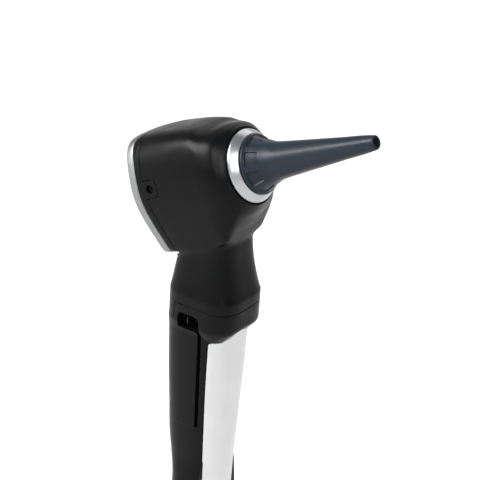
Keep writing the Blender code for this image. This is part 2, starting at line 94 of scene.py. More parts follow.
PARTING = -26.0                 # along the optical axis: head to frame, frame to rim, rim's back
FRAME_BACK = -28.4
RIM_BACK = -31.0
RIM_GAP = 0.15
FRAME_FOOT = -19.1              # up the head's own Y: the frame sits in the head above this
LENS_SWING = -20.4              # the head is cleared above this for the rim to swing
LENS_PIVOT = 12.8
PIN_HOLE = 1.5
SIGHT_RADIUS = 9.6
LENS_RADIUS = 10.2
PORT_AXIS = (1.0, -24.3)        # up and forward
PORT_TAB = (2.4, -21.9)         # half height, front edge
PORT_TAB_CORNER = 1.7
PORT_TAB_X = (-20.0, -12.9)     # the tab's own depth, then its pocket's in the head
PORT_POCKET_X = (-20.0, -12.6)
FRAME_SCREW = (6.4, -15.2)      # across on both sides, and up
HAIRLINE = 0.2
SEAM_GAP = 0.14                 # head and handle each stop this far from the seam

POCKETS = 8                     # the shallow windows round the speculum's base
POCKET_TURN = 155.8
POCKET_HALF_SHARE = 0.36
POCKET_SPAN = (3.75, 6.95)
POCKET_DEPTH = 0.4
SPECULUM_FOOT, SPECULUM_TIP = 2.85, 40.7
# Speculum: height along the optical axis and outside radius, then the same for its bore.
SPECULUM_OUTLINE = (
    (2.85, 7.9), (2.95, 8.1), (3.3, 8.1), (3.45, 8.0), (3.6, 7.7), (5.4, 6.8), (7.2, 5.95),
    (9.6, 5.15), (13.0, 4.7), (19.3, 4.05), (30.0, 2.98), (40.0, 1.96), (40.35, 1.88),
    (40.6, 1.72), (40.7, 1.5),
)
SPECULUM_BORE = ((40.7, 1.36), (40.5, 1.26), (40.0, 1.25), (30.0, 2.25), (19.3, 3.15), (9.9, 4.3),
                 (7.0, 5.0), (3.3, 6.6), (2.85, 6.9))

LEVER_TOP = 107.7
LEVER_ROOT = 76.4
LEVER_FRONT = -1.8
LEVER_WALL = 1.6
LEVER_CORNER = 0.7
SLOT_WIDTH = 1.15
SLOT_FOOT = 76.9
NOTCH_SPAN = (-2.2, 5.0)
NOTCH_TOP = 112.7
TAB_FRONT = 6.4
TAB_DEPTH = 5.2
TAB_GAP = 0.2
BATTERY_RADIUS = 5.75           # of the bore for the cells
HANDLE_WALL = 2.0               # round the chamber above the cells
HANDLE_FOOT = 9.3

PANEL_TOP = 106.7
PANEL_FOOT = 48.0
PANEL_SKIN = 0.8
PANEL_GAP = 0.15
PANEL_FLARE = 65.0
PANEL_FLARE_WIDTH = 8.6
PANEL_FOOT_FRONT = -6.95
PANEL_EDGES = ((48.0, -4.45), (65.0, -4.5), (86.0, -4.6), (107.0, -4.95))
PANEL_CORNER = 1.2
# The collar's lower edge sinks on both sides of the front: how far, between which heights, from
# which Y over what depth, and at what distance from the middle it is lowest.
COLLAR_DROOP = 1.4
DROOP_HEIGHTS = (98.0, 105.0, 107.2, 109.8)
DROOP_START, DROOP_DEPTH = -3.0, 2.6
DROOP_HALF_WIDTH = 6.0

CHASSIS_BASE = 79.0
CHASSIS_TOP = 113.6
CHASSIS_INSET = 2.4
LATCH_RECESS = ((6.5, -2.6, 105.0), (12.0, 4.3, 113.2))
LATCH_RIB = ((6.3, 2.3, 108.6), (9.0, 2.75, 111.2))

CAP_TOP = 9.0
CAP_FOOT_ROW = 1.4              # below this height the cap keeps the outline that it has here
# How far the cap's outline draws in at its foot, and at the seam to the handle.
CAP_EDGE = ((0.0, 1.15), (0.12, 0.75), (0.35, 0.42), (0.75, 0.15), (1.3, 0.0))
CAP_SEAM = ((8.8, 0.0), (9.0, 0.15))

# Points round each kind of outline, and the angle from which an edge stays sharp.
OUTLINE_STEPS = 128
HEAD_STEPS = 256
TURN_STEPS = 112
SPECULUM_STEPS = POCKETS * 30
CORNER_STEPS = 5
FINE_STEPS = 1441
CREASE = 32.0
# Cutters run past the body on both sides.
ACROSS_HEAD = (-25.0, 25.0)
ACROSS_HANDLE = (-20.0, 20.0)


# ---------------------------------------------------------------- shapes

def spline_rows(table, positions):
    """Every column of a station table, on a smooth curve that doesn't overshoot its stations."""
    data = np.array(table, float)
    knots, values = data[:, 0], data[:, 1:]
    step = np.diff(knots)[:, None]
    slope = np.diff(values, axis=0) / step
    before, after = slope[:-1], slope[1:]
    steady = before * after > 0.0
    heavy = 2.0 * step[1:] + step[:-1]
    light = step[1:] + 2.0 * step[:-1]
    safe_before = np.where(steady, before, 1.0)
    safe_after = np.where(steady, after, 1.0)
    tangent = np.empty_like(values)
    blend = (heavy + light) / (heavy / safe_before + light / safe_after)
    tangent[1:-1] = np.where(steady, blend, 0.0)
    tangent[0], tangent[-1] = slope[0], slope[-1]
    place = np.clip(np.asarray(positions, float), knots[0], knots[-1])
    cell = np.clip(np.searchsorted(knots, place, side="right") - 1, 0, len(knots) - 2)
    width = step[cell]
    t = ((place - knots[cell]) / width[:, 0])[:, None]
    return ((1 + 2 * t) * (1 - t) ** 2 * values[cell] + t * (1 - t) ** 2 * width * tangent[cell]
            + t * t * (3 - 2 * t) * values[cell + 1] + t * t * (t - 1) * width * tangent[cell + 1])


def handle_row(height):
    return spline_rows(HANDLE_STATIONS, [height])[0]


def panel_row(height):
    """The front panel follows the handle, but runs straight on where the handle flares."""
    row = handle_row(max(height, PANEL_FLARE))
    if height < PANEL_FLARE:
        front = np.interp(height, (PANEL_FOOT, PANEL_FLARE), (PANEL_FOOT_FRONT, row[1]))
        row = np.array((PANEL_FLARE_WIDTH, front, row[2], row[3]))
    return row


def squared_points(row, angles, height, inset=0.0):
    """Points of a rounded-square outline at the given parameter angles."""
    half_width, front, rear, power = row
    middle, reach_y = (front + rear) / 2.0, (rear - front) / 2.0 - inset
    across = np.sign(np.cos(angles)) * np.abs(np.cos(angles)) ** (2.0 / power)
    along = np.sign(np.sin(angles)) * np.abs(np.sin(angles)) ** (2.0 / power)
    column = np.full(len(angles), height)
    return np.stack(((half_width - inset) * across, middle + reach_y * along, column), axis=1)


def even_squared(row, height, inset=0.0, start=0.0, end=2.0 * math.pi, count=OUTLINE_STEPS):
    """The same outline with its points evenly spaced along it, from one angle to another."""
    fine = np.linspace(start, end, FINE_STEPS)
    points = squared_points(row, fine, height, inset)
    length = np.concatenate(([0.0], np.cumsum(np.linalg.norm(np.diff(points, axis=0), axis=1))))
    closed = abs(end - start - 2.0 * math.pi) < 1e-6
    wanted = np.linspace(0.0, length[-1], count + 1)[:count if closed else count + 1]
    return np.stack([np.interp(wanted, length, points[:, axis]) for axis in range(3)], axis=1)


def edge_angle(row, y, inset):
    """The outline's parameter angle where it crosses a given Y on the +X side."""
    half_width, front, rear, power = row
    share = (y - (front + rear) / 2.0) / ((rear - front) / 2.0 - inset)
    return math.copysign(math.asin(min(1.0, abs(share) ** (power / 2.0))), share)


def open_ring(row, height, inset, y, rear_side):
    """The part of the outline behind (or ahead of) a given Y."""
    angle = edge_angle(row, y, inset)
    start, end = (angle, math.pi - angle) if rear_side else (-math.pi - angle, angle)
    return even_squared(row, height, inset, start, end, OUTLINE_STEPS // 2)


def polar_ring(angles, radius, height):
    column = np.full(len(angles), height)
    return np.stack((radius * np.cos(angles), radius * np.sin(angles), column), axis=1)


def head_radius(angles, reach, inset=0.0):
    """The head's outline as a radius: walls joined by soft corners, turned towards a circle."""
    def wall(direction, column):
        facing = np.maximum(1e-3, np.cos(angles - math.radians(direction)))
        return facing / (reach[..., column] - inset)

    total = sum(wall(*side) ** SIDE_SQUARENESS for side in HEAD_SIDES)
    total = total ** (ROOF_SQUARENESS / SIDE_SQUARENESS) + wall(*HEAD_ROOF) ** ROOF_SQUARENESS
    total = total ** (FLOOR_SQUARENESS / ROOF_SQUARENESS) + wall(*HEAD_FLOOR) ** FLOOR_SQUARENESS
    squared = total ** (-1.0 / FLOOR_SQUARENESS)
    circle = reach[..., :4].mean(axis=-1) - inset
    return squared + reach[..., 4] * (circle - squared)


def head_ring(position, inset=0.0):
    """The head's outline across the optical axis: flat walls joined by rounded corners."""
    angles = 2.0 * math.pi * np.arange(HEAD_STEPS) / HEAD_STEPS
    radius = head_radius(angles, spline_rows(HEAD_STATIONS, [position])[0], inset)
    return polar_ring(angles, radius, position)


def levels(low, high, spacing, *extra):
    """Heights from low to high at about the given spacing, with any extra ones."""
    even = np.linspace(low, high, max(2, int(round((high - low) / spacing)) + 1))
    inner = [height for height in extra if low < height < high]
    return sorted(set(np.round(even, 4)) | set(np.round(inner, 4)))


def rounded(points, radii):
    """A closed outline with its corners rounded; radii is one number or one per corner."""
    count = len(points)
    radii = radii if isinstance(radii, (list, tuple)) else [radii] * count
    result = []
    for here in range(count):
        corner = np.array(points[here], float)
        before = np.array(points[here - 1], float) - corner
        after = np.array(points[(here + 1) % count], float) - corner
        room = min(np.linalg.norm(before), np.linalg.norm(after))
        trim = min(radii[here], 0.45 * room)
        if trim <= 0.0:
            result.append(tuple(corner))
            continue
        start = corner + before / np.linalg.norm(before) * trim
        end = corner + after / np.linalg.norm(after) * trim
        for t in np.linspace(0.0, 1.0, CORNER_STEPS):
            result.append(tuple((1 - t) ** 2 * start + 2 * t * (1 - t) * corner + t * t * end))
    return result


# ---------------------------------------------------------------- meshes

HEAD = (Matrix.Translation(Vector(HEAD_CENTRE) * MM)
        @ Matrix.Rotation(math.radians(90.0 - OPTIC_TILT), 4, "X"))
WORLD = Matrix.Identity(4)
PORT = (HEAD @ Matrix.Translation(Vector((0.0, *PORT_AXIS)) * MM)
        @ Matrix.Rotation(-math.pi / 2, 4, "Y"))


def settle(item):
    item.data.shade_smooth()
    item.data.set_sharp_from_angle(angle=math.radians(CREASE))
    return item


def make(name, points, faces, place=WORLD):
    """A mesh object from points in millimetres in the given frame."""
    mesh = bpy.data.meshes.new(name)
    mesh.from_pydata((np.asarray(points, float) * MM).tolist(), [], faces)
    work = bmesh.new()
    work.from_mesh(mesh)
    bmesh.ops.recalc_face_normals(work, faces=work.faces)
    work.to_mesh(mesh)
    work.free()
    item = bpy.data.objects.new(name, mesh)
    bpy.context.scene.collection.objects.link(item)
    item.matrix_world = place
    return settle(item)


def loft(name, rings, place=WORLD, looped=False):
    """A solid through equal rings of points; looped joins the last ring to the first."""
    rings = [np.asarray(ring, float) for ring in rings]
    count = len(rings[0])
    points = np.concatenate(rings)
    faces = []
    spans = len(rings) if looped else len(rings) - 1
    for level in range(spans):
        base, over = level * count, (level + 1) % len(rings) * count
        for here in range(count):
            after = (here + 1) % count
            faces.append((base + here, base + after, over + after, over + here))
    if not looped:
        faces += [tuple(range(count)), tuple(range(len(points) - count, len(points)))]
    return make(name, points, faces, place)


def turned(name, profile, place=WORLD, centre=(0.0, 0.0), steps=TURN_STEPS):
    """A turned solid about Z from a closed (radius, height) profile; radius 0 is a pole."""
    points, columns = [], []
    for radius, height in profile:
        if radius < 1e-6:
            columns.append([len(points)] * steps)
            points.append((*centre, height))
            continue
        columns.append(list(range(len(points), len(points) + steps)))
        for step in range(steps):
            angle = 2.0 * math.pi * step / steps
            x, y = centre[0] + radius * math.cos(angle), centre[1] + radius * math.sin(angle)
            points.append((x, y, height))
    faces = []
    for here, after in zip(columns, columns[1:] + columns[:1]):
        for step in range(steps):
            following = (step + 1) % steps
            corners = dict.fromkeys((here[step], here[following], after[following], after[step]))
            if len(corners) > 2:
                faces.append(tuple(corners))
    return make(name, points, faces, place)


def drill(name, radius, low, high, place=WORLD, centre=(0.0, 0.0), steps=TURN_STEPS):
    """A plain cylinder about Z, as a cutter."""
    profile = ((0.0, low), (radius, low), (radius, high), (0.0, high))
    return turned(name, profile, place, centre, steps)


def prism(name, outline, low, high, place=WORLD):
    """An outline in the (Y, Z) plane, extruded along X."""
    rings = [[(x, y, z) for y, z in outline] for x in (low, high)]
    return loft(name, rings, place)


def block(name, low, high):
    outline = ((low[1], low[2]), (high[1], low[2]), (high[1], high[2]), (low[1], high[2]))
    return prism(name, outline, low[0], high[0])


def bake(item, place):
    """Move the mesh itself, so that the object's own matrix stays plain."""
    item.data.transform(place)
    item.matrix_world = WORLD


def apply_modifiers(item):
    bpy.context.view_layer.update()
    graph = bpy.context.evaluated_depsgraph_get()
    made = bpy.data.meshes.new_from_object(item.evaluated_get(graph))
    item.modifiers.clear()
    item.data = made


def combine(item, operation, tools):
    """Booleans applied one after another; the tools are used up."""
    for tool in tools:
        modifier = item.modifiers.new(tool.name, "BOOLEAN")
        modifier.operation = operation
        modifier.solver = "MANIFOLD"
        modifier.object = tool
    apply_modifiers(item)
    for tool in tools:
        bpy.data.objects.remove(tool)
    return settle(item)


def cut(item, *tools):
    return combine(item, "DIFFERENCE", tools)


def soften(item, width):
    """A small real bevel along the sharp edges of a regular mesh."""
    modifier = item.modifiers.new("soften", "BEVEL")
    modifier.width = width * MM
    modifier.segments = 2
    modifier.limit_method = "ANGLE"
    modifier.angle_limit = math.radians(40.0)
    modifier.harden_normals = False
    apply_modifiers(item)
    return settle(item)


# ---------------------------------------------------------------- materials

class Nodes:
    """Short names for building one material's node tree."""

    def __init__(self, name):
        self.material = bpy.data.materials.new(name)
        self.material.use_nodes = True
        self.tree = self.material.node_tree
        self.shader = self.tree.nodes["Principled BSDF"]
        self.place = self.add("TexCoord").outputs["Object"]

    def add(self, kind, **inputs):
        node = self.tree.nodes.new("ShaderNode" + kind)
        for key, value in inputs.items():
            self.feed(node, key.replace("_", " "), value)
        return node

    def feed(self, node, socket, value):
        if isinstance(value, bpy.types.NodeSocket):
            self.tree.links.new(value, node.inputs[socket])
        else:
            node.inputs[socket].default_value = value

    def stretched(self, scale):
        mapping = self.add("Mapping", Vector=self.place)
        mapping.inputs["Scale"].default_value = scale
        return mapping.outputs["Vector"]

    def concentric(self):
        """Coordinates that run across the turning marks of a lathed part."""
        split = self.add("SeparateXYZ", Vector=self.place)
        flat = self.add("CombineXYZ", X=split.outputs["X"], Y=split.outputs["Y"])
        length = self.add("VectorMath", Vector=flat.outputs["Vector"])
        length.operation = "LENGTH"
        joined = self.add("CombineXYZ", X=length.outputs["Value"], Y=split.outputs["Z"])
        return joined.outputs["Vector"]

    def noise(self, scale, detail=3.0, where=None):
        made = self.add("TexNoise", Vector=where or self.place, Scale=scale, Detail=detail)
        return made.outputs["Fac"]

    def between(self, value, low, high, start=0.3, end=0.7):
        node = self.add("MapRange", Value=value, From_Min=start, From_Max=end,
                        To_Min=low, To_Max=high)
        return node.outputs["Result"]

    def mix(self, share, first, second):
        """A colour mix. Several of the node's sockets share a name, so they go by their index."""
        node = self.tree.nodes.new("ShaderNodeMix")
        node.data_type = "RGBA"
        for index, value in ((0, share), (6, first), (7, second)):
            if isinstance(value, bpy.types.NodeSocket):
                self.tree.links.new(value, node.inputs[index])
            else:
                node.inputs[index].default_value = value
        return node.outputs[2]

    def bump(self, height, strength, distance, normal=None):
        node = self.add("Bump", Height=height, Strength=strength, Distance=distance)
        if normal:
            self.feed(node, "Normal", normal)
        return node.outputs["Normal"]

    def edges(self):
        """How sharp and outward an edge is, for wear: 0 on flats, 1 on worn edges."""
        point = self.add("NewGeometry").outputs["Pointiness"]
        return self.between(point, 0.0, 1.0, 0.53, 0.62)

    def rounded_normal(self, radius):
        node = self.add("Bevel", Radius=radius * MM)
        node.samples = 6
        return node.outputs["Normal"]


def shade(colour, factor=1.0):
    return (*(min(1.0, channel * factor) for channel in colour), 1.0)


def plastic(name, colour, roughness, specular=0.35, grain=(5200.0, 0.35), wear=0.25, edge=0.18):
    """Moulded plastic: a fine spark-eroded grain, faint handling marks, paler worn edges."""
    nodes = Nodes(name)
    worn = nodes.edges()
    marks = nodes.noise(260.0, 5.0)
    tone = nodes.mix(nodes.noise(70.0, 2.0), shade(colour, 0.86), shade(colour, 1.16))
    strength = nodes.add("Math", Value=worn)
    strength.operation = "MULTIPLY"
    strength.inputs[1].default_value = wear
    nodes.feed(nodes.shader, "Base Color", nodes.mix(strength.outputs[0], tone, shade(colour, 4.0)))
    nodes.feed(nodes.shader, "Roughness", nodes.between(marks, roughness - 0.05, roughness + 0.06))
    nodes.shader.inputs["Specular IOR Level"].default_value = specular
    normal = nodes.rounded_normal(edge) if edge else None
    fine = nodes.bump(nodes.noise(grain[0], 2.0), grain[1], 0.012 * MM, normal)
    nodes.feed(nodes.shader, "Normal", fine)
    return nodes.material


def metal(name, colour, roughness, marks, depth=0.25):
    """Bare metal: bead-blasted, brushed along Z, or with the rings a lathe leaves."""
    nodes = Nodes(name)
    if marks == "brushed":
        texture = nodes.noise(6500.0, 3.0, nodes.stretched((1.0, 1.0, 0.02)))
    elif marks == "turned":
        texture = nodes.noise(7000.0, 3.0, nodes.concentric())
    else:
        texture = nodes.noise(5200.0, 3.0)
    cloud = nodes.noise(120.0, 4.0)
    tone = nodes.mix(nodes.between(cloud, 0.0, 1.0), shade(colour, 0.95), shade(colour, 1.03))
    nodes.feed(nodes.shader, "Base Color", nodes.mix(nodes.edges(), tone, shade(colour, 1.12)))
    nodes.shader.inputs["Metallic"].default_value = 1.0
    nodes.feed(nodes.shader, "Roughness", nodes.between(cloud, roughness - 0.04, roughness + 0.04))
    edge = nodes.rounded_normal(0.12)
    nodes.feed(nodes.shader, "Normal", nodes.bump(texture, depth, 0.01 * MM, edge))
    return nodes.material


def glass(name):
    """Coated optical glass with the faintest polish haze."""
    nodes = Nodes(name)
    shader = nodes.shader
    shader.inputs["Base Color"].default_value = (0.93, 0.97, 0.97, 1.0)
    shader.inputs["Transmission Weight"].default_value = 1.0
    shader.inputs["IOR"].default_value = 1.52
    nodes.feed(shader, "Roughness", nodes.between(nodes.noise(150.0, 4.0), 0.012, 0.05))
    nodes.feed(shader, "Normal", nodes.bump(nodes.noise(900.0, 2.0), 0.02, 0.002 * MM))
    return nodes.material


def light_pipe(name):
    """Clear acrylic fibre, a little milky, as light guides are."""
    nodes = Nodes(name)
    shader = nodes.shader
    tone = nodes.mix(nodes.noise(800.0, 3.0), (0.80, 0.84, 0.82, 1.0), (0.95, 0.96, 0.92, 1.0))
    nodes.feed(shader, "Base Color", tone)
    shader.inputs["Transmission Weight"].default_value = 0.55
    shader.inputs["IOR"].default_value = 1.49
    nodes.feed(shader, "Roughness", nodes.between(nodes.noise(1500.0, 3.0), 0.12, 0.3))
    nodes.feed(shader, "Normal", nodes.bump(nodes.noise(4000.0, 2.0), 0.1, 0.01 * MM))
    return nodes.material


def board(name):
    """Green solder mask over copper tracks."""
    nodes = Nodes(name)
    shader = nodes.shader
    tracks = nodes.add("TexBrick", Vector=nodes.place, Scale=420.0, Mortar_Size=0.035)
    raised = nodes.between(tracks.outputs["Fac"], 0.0, 1.0, 0.0, 1.0)
    mask = nodes.mix(raised, (0.012, 0.085, 0.035, 1.0), (0.035, 0.20, 0.07, 1.0))
    nodes.feed(shader, "Base Color", nodes.mix(nodes.edges(), mask, (0.35, 0.30, 0.16, 1.0)))
    nodes.feed(shader, "Roughness", nodes.between(nodes.noise(900.0), 0.28, 0.42))
    nodes.feed(shader, "Normal", nodes.bump(raised, 0.4, 0.02 * MM))
    return nodes.material


def cell_sleeve(name):
    """A printed film sleeve: a dark body and a copper-coloured band at the top, no lettering."""
    nodes = Nodes(name)
    shader = nodes.shader
    split = nodes.add("SeparateXYZ", Vector=nodes.place)
    wave = nodes.add("Math", Value=split.outputs["Z"])
    wave.operation = "PINGPONG"
    wave.inputs[1].default_value = 0.0224
    band = nodes.between(wave.outputs[0], 0.0, 1.0, 0.0172, 0.0174)
    tone = nodes.mix(band, (0.035, 0.05, 0.10, 1.0), (0.55, 0.32, 0.16, 1.0))
    wrinkle = nodes.noise(500.0, 4.0, nodes.stretched((1.0, 1.0, 0.25)))
    nodes.feed(shader, "Base Color", nodes.mix(nodes.edges(), tone, (0.5, 0.5, 0.52, 1.0)))
    nodes.feed(shader, "Metallic", nodes.between(band, 0.1, 0.7, 0.0, 1.0))
    nodes.feed(shader, "Roughness", nodes.between(wrinkle, 0.24, 0.38))
    nodes.feed(shader, "Normal", nodes.bump(wrinkle, 0.2, 0.03 * MM))
    return nodes.material


BLACK = plastic("black_plastic", (0.0020, 0.0021, 0.0024), 0.33, 0.10)
GLOSS_BLACK = plastic("gloss_black_plastic", (0.004, 0.0045, 0.005), 0.24, 0.20, (3000.0, 0.08))
SLATE = plastic("slate_plastic", (0.011, 0.016, 0.023), 0.32, 0.16, (1600.0, 0.02), 0.03, 0.0)
RUBBER = plastic("black_rubber", (0.012, 0.012, 0.012), 0.72, 0.3, (2400.0, 0.6), 0.1, 0.1)
SILVER = metal("satin_aluminium", (0.42, 0.43, 0.44), 0.28, "turned")
# The rim's base colour is set darker than the front ring's as painted shade; its blasted marks and
# rougher finish are real.
SHADED_RIM_SILVER = metal("blasted_aluminium_painted_shade", (0.25, 0.254, 0.257), 0.42, "blasted")
# The panel's base colour is set lighter than the front ring's as painted light; its brushed marks
# and roughness are real.
LIT_PANEL_SILVER = metal("brushed_aluminium_painted_light", (0.60, 0.60, 0.605), 0.40, "brushed", depth=0.12)
STEEL = metal("steel", (0.40, 0.40, 0.41), 0.28, "turned")
BRASS = metal("brass", (0.75, 0.56, 0.25), 0.30, "turned")
GLASS = glass("lens_glass")
PIPE = light_pipe("light_guide")
BOARD = board("circuit_board")
CELL = cell_sleeve("cell_sleeve")


def place_piece(item, body, slot, finish, *nodes):
    """Give a finished piece its material, its body and the CAD nodes it stands for. The slot is not
    used.
    """
    item.data.materials.clear()
    item.data.materials.append(finish)
    if body:
        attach(item, body)
    if nodes:
        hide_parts(*nodes)
    return item


# ---------------------------------------------------------------- head

def head_field(points):
    """Roughly how far each point is outside the head, in millimetres."""
    shifted = points - np.array(HEAD_CENTRE)
    slant = math.radians(OPTIC_TILT)
    across = shifted[:, 0]
    upward = shifted[:, 1] * math.sin(slant) + shifted[:, 2] * math.cos(slant)
    forward = -shifted[:, 1] * math.cos(slant) + shifted[:, 2] * math.sin(slant)
    reach = spline_rows(HEAD_STATIONS, forward)
    return np.hypot(across, upward) - head_radius(np.arctan2(upward, across), reach)


def neck_field(points):
    """Roughly how far each point is outside the neck, in millimetres."""
    rise = points[:, 2] - SEAM
    half_width, front, rear, power = spline_rows(NECK_STATIONS, rise).T
    across = np.abs(points[:, 0]) / half_width
    along = np.abs(points[:, 1] - (front + rear) / 2.0) / ((rear - front) / 2.0)
    size = (across ** power + along ** power) ** (1.0 / power)
    return np.maximum((size - 1.0) * np.minimum(half_width, (rear - front) / 2.0), rise - NECK_TOP)


def body_field(points):
    """Head and neck run into each other through a soft fillet."""
    head, neck = head_field(points), neck_field(points)
    share = np.clip(0.5 + 0.5 * (neck - head) / NECK_BLEND, 0.0, 1.0)
    return neck * (1 - share) + head * share - NECK_BLEND * share * (1 - share)


def onto_body(item):
    """Pull every point near the surface exactly onto it."""
    mesh = item.data
    flat = np.empty(len(mesh.vertices) * 3)
    mesh.vertices.foreach_get("co", flat)
    points = flat.reshape(-1, 3) / MM
    probe = 0.02
    for _ in range(5):
        value = body_field(points)
        changes = [body_field(points + step) - value for step in np.eye(3) * probe]
        gradient = np.stack(changes, axis=1) / probe
        size = np.maximum(np.sum(gradient ** 2, axis=1), 0.1)
        near = np.abs(value) < 1.0
        move = gradient * (value / size)[:, None]
        points = np.where(near[:, None], points - move, points)
    mesh.vertices.foreach_set("co", (points * MM).ravel())
    mesh.update()


def head_body():
    """Head and neck as one skin, remeshed from two lofts and drawn onto the smooth surface."""
    neck_rings = []
    for rise in levels(NECK_STATIONS[0][0], NECK_TOP, 1.0):
        neck_rings.append(even_squared(spline_rows(NECK_STATIONS, [rise])[0], SEAM + rise))
    item = loft("head_body", [head_ring(z) for z in levels(*HEAD_SPAN, 0.6)])
    bake(item, HEAD)
    combine(item, "UNION", [loft("neck_form", neck_rings)])
    remesh = item.modifiers.new("remesh", "REMESH")
    remesh.mode = "VOXEL"
    remesh.voxel_size = VOXEL * MM
    apply_modifiers(item)
    onto_body(item)
    return item


def tab_outline(grow):
    """The rear frame's side tab, seen from the side, as (up, forward)."""
    low, high = PORT_AXIS[0] - PORT_TAB[0] - grow, PORT_AXIS[0] + PORT_TAB[0] + grow
    front = PORT_TAB[1] + grow
    return rounded(((low, -30.0), (high, -30.0), (high, front), (low, front)),
                   [0.0, 0.0, PORT_TAB_CORNER, PORT_TAB_CORNER])


def build_head():
    item = head_body()
    floor, step = SEAM + SEAM_GAP, TAB_FRONT + HAIRLINE
    seam = rounded(((-30.0, 100.0), (30.0, 100.0), (30.0, SEAM - TAB_DEPTH),
                    (step, SEAM - TAB_DEPTH), (step, floor), (-30.0, floor)),
                   [0.0, 0.0, 0.0, 0.9, 0.5, 0.0])
    trim = rounded(((FRAME_FOOT, PARTING), (30.0, PARTING), (30.0, -60.0), (LENS_SWING, -60.0),
                    (LENS_SWING, FRAME_BACK), (FRAME_FOOT, FRAME_BACK)),
                   [0.4, 0.0, 0.0, 0.0, 0.5, 0.5])
    mouth = rounded(((0.0, -8.0), (7.2, -8.0), (7.2, -0.7), (10.2, -0.7), (10.2, 0.0),
                     (22.0, 0.0), (22.0, 4.0), (0.0, 4.0)), [0, 0, 0, 0, 0.1, 0, 0, 0])
    cavity = [head_ring(z, HEAD_WALL) for z in levels(PARTING - 1.0, -5.5, 1.0)]
    cut(item, prism("seam_cut", seam, *ACROSS_HEAD), prism("rear_trim", trim, *ACROSS_HEAD, HEAD),
        turned("mouth_cut", mouth, HEAD), loft("cavity_cut", cavity, HEAD),
        drill("neck_bore", NECK_BORE[0], 100.0, SEAM + NECK_BORE[1], centre=(0.0, CORE_Y)),
        prism("tab_pocket", tab_outline(HAIRLINE), *PORT_POCKET_X, HEAD))
    return place_piece(item, "head", "black_plastic", BLACK, "head_shell")


def edged_rings(low, high, edge):
    """Head outlines between two positions, pulled in at both ends for a rounded edge."""
    turns = np.radians(np.linspace(0.0, 90.0, 5))
    start = [(low + edge * (1 - math.cos(turn)), edge * (1 - math.sin(turn))) for turn in turns]
    end = [(low + high - z, pull) for z, pull in reversed(start)]
    middle = [(z, 0.0) for z in levels(low + edge, high - edge, 0.6)[1:-1]]
    return [head_ring(z, pull) for z, pull in start + middle + end]


def build_rear_frame():
    """The black frame, with its port tab, wells for the screws and a hole for the pin."""
    item = loft("rear_bezel", edged_rings(FRAME_BACK, PARTING - HAIRLINE, 0.25), HEAD)
    tab = loft("port_tab", [head_ring(z) for z in levels(-27.0, PORT_TAB[1] + 1.0, 0.5)], HEAD)
    combine(tab, "INTERSECT", [prism("tab_zone", tab_outline(0.0), *PORT_TAB_X, HEAD)])
    combine(item, "UNION", [tab])
    port = ((0.0, 9.0), (1.2, 9.0), (1.2, 14.5), (1.45, 14.8), (1.45, 20.0), (0.0, 20.0))
    tools = [drill("frame_opening", SIGHT_RADIUS, -40.0, -20.0, HEAD),
             drill("frame_pin", PIN_HOLE, -40.0, -20.0, HEAD, (0.0, LENS_PIVOT), 40),
             turned("port_way", port, PORT, steps=48)]
    well = ((0.0, -29.0), (1.9, -29.0), (1.9, -27.6), (1.15, -27.6), (1.15, -25.0), (0.0, -25.0))
    for side in (-1.0, 1.0):
        centre = (side * FRAME_SCREW[0], FRAME_SCREW[1])
        tools.append(turned(f"screw_well_{side:+.0f}", well, HEAD, centre, 40))
    cut(item, *tools)
    place_piece(item, "head", "black_plastic", BLACK, "rear_frame")
    nipple = rounded(((0.85, 10.5), (1.15, 10.5), (1.15, 13.2), (0.85, 13.2)), [0, 0, 0.1, 0.1])
    sleeve = turned("port_sleeve", nipple, PORT, steps=40)
    place_piece(sleeve, "head", "black_rubber", RUBBER, "port_nipple")


def build_lens():
    """The rim that swings, with a countersunk sight opening, and the lens with two curved faces."""
    rim = loft("lens_bezel", edged_rings(RIM_BACK, FRAME_BACK - RIM_GAP, 0.4), HEAD)
    seat = ((0.0, -33.0), (10.6, -33.0), (9.3, -30.6), (10.5, -30.6), (10.5, -27.0), (0.0, -27.0))
    cut(rim, turned("lens_seat", seat, HEAD),
        drill("rim_pin", PIN_HOLE, -40.0, -20.0, HEAD, (0.0, LENS_PIVOT), 40))
    place_piece(rim, "lens", "satin_aluminium", SHADED_RIM_SILVER, "lens_rim")
    rear = [(LENS_RADIUS * t, -30.75 + 0.7 * t * t) for t in np.linspace(0.0, 1.0, 12)]
    front = [(LENS_RADIUS * t, -28.9 - 0.45 * t * t) for t in np.linspace(1.0, 0.0, 12)]
    lens = turned("lens_element", rear + front, HEAD)
    place_piece(lens, "lens", "lens_glass", GLASS, "magnifier_lens")


def speculum_ring(angles, height):
    """One outside ring of the speculum: flange, pocketed base, and the long taper to the tip."""
    radius = spline_rows(SPECULUM_OUTLINE, [height])[0, 0]
    turn = ((angles - math.radians(POCKET_TURN)) / (2.0 * math.pi) * POCKETS + 0.5) % 1.0
    side = np.clip((POCKET_HALF_SHARE - np.abs(turn - 0.5)) / 0.025, 0.0, 1.0)
    low, high = POCKET_SPAN
    span = np.clip((height - low) / 0.12, 0.0, 1.0) * np.clip((high - height) / 0.3, 0.0, 1.0)
    return polar_ring(angles, radius - POCKET_DEPTH * side * side * (3 - 2 * side) * span, height)


def build_speculum():
    angles = 2.0 * math.pi * np.arange(SPECULUM_STEPS) / SPECULUM_STEPS
    flange = (2.9, 2.95, 3.05, 3.3, 3.38, 3.45, 3.52, 3.6)
    pocket_ends = (3.75, 3.81, 3.87, 6.65, 6.75, 6.85, 6.95)
    tip = (40.35, 40.5, 40.6, 40.65)
    heights = levels(SPECULUM_FOOT, SPECULUM_TIP, 1.2, *flange, *pocket_ends, *tip)
    rings = [speculum_ring(angles, height) for height in heights]
    rings += [polar_ring(angles, radius, height) for height, radius in SPECULUM_BORE]
    item = loft("ear_speculum", rings, looped=True)
    bake(item, HEAD)
    place_piece(item, "speculum", "slate_plastic", SLATE, "speculum")


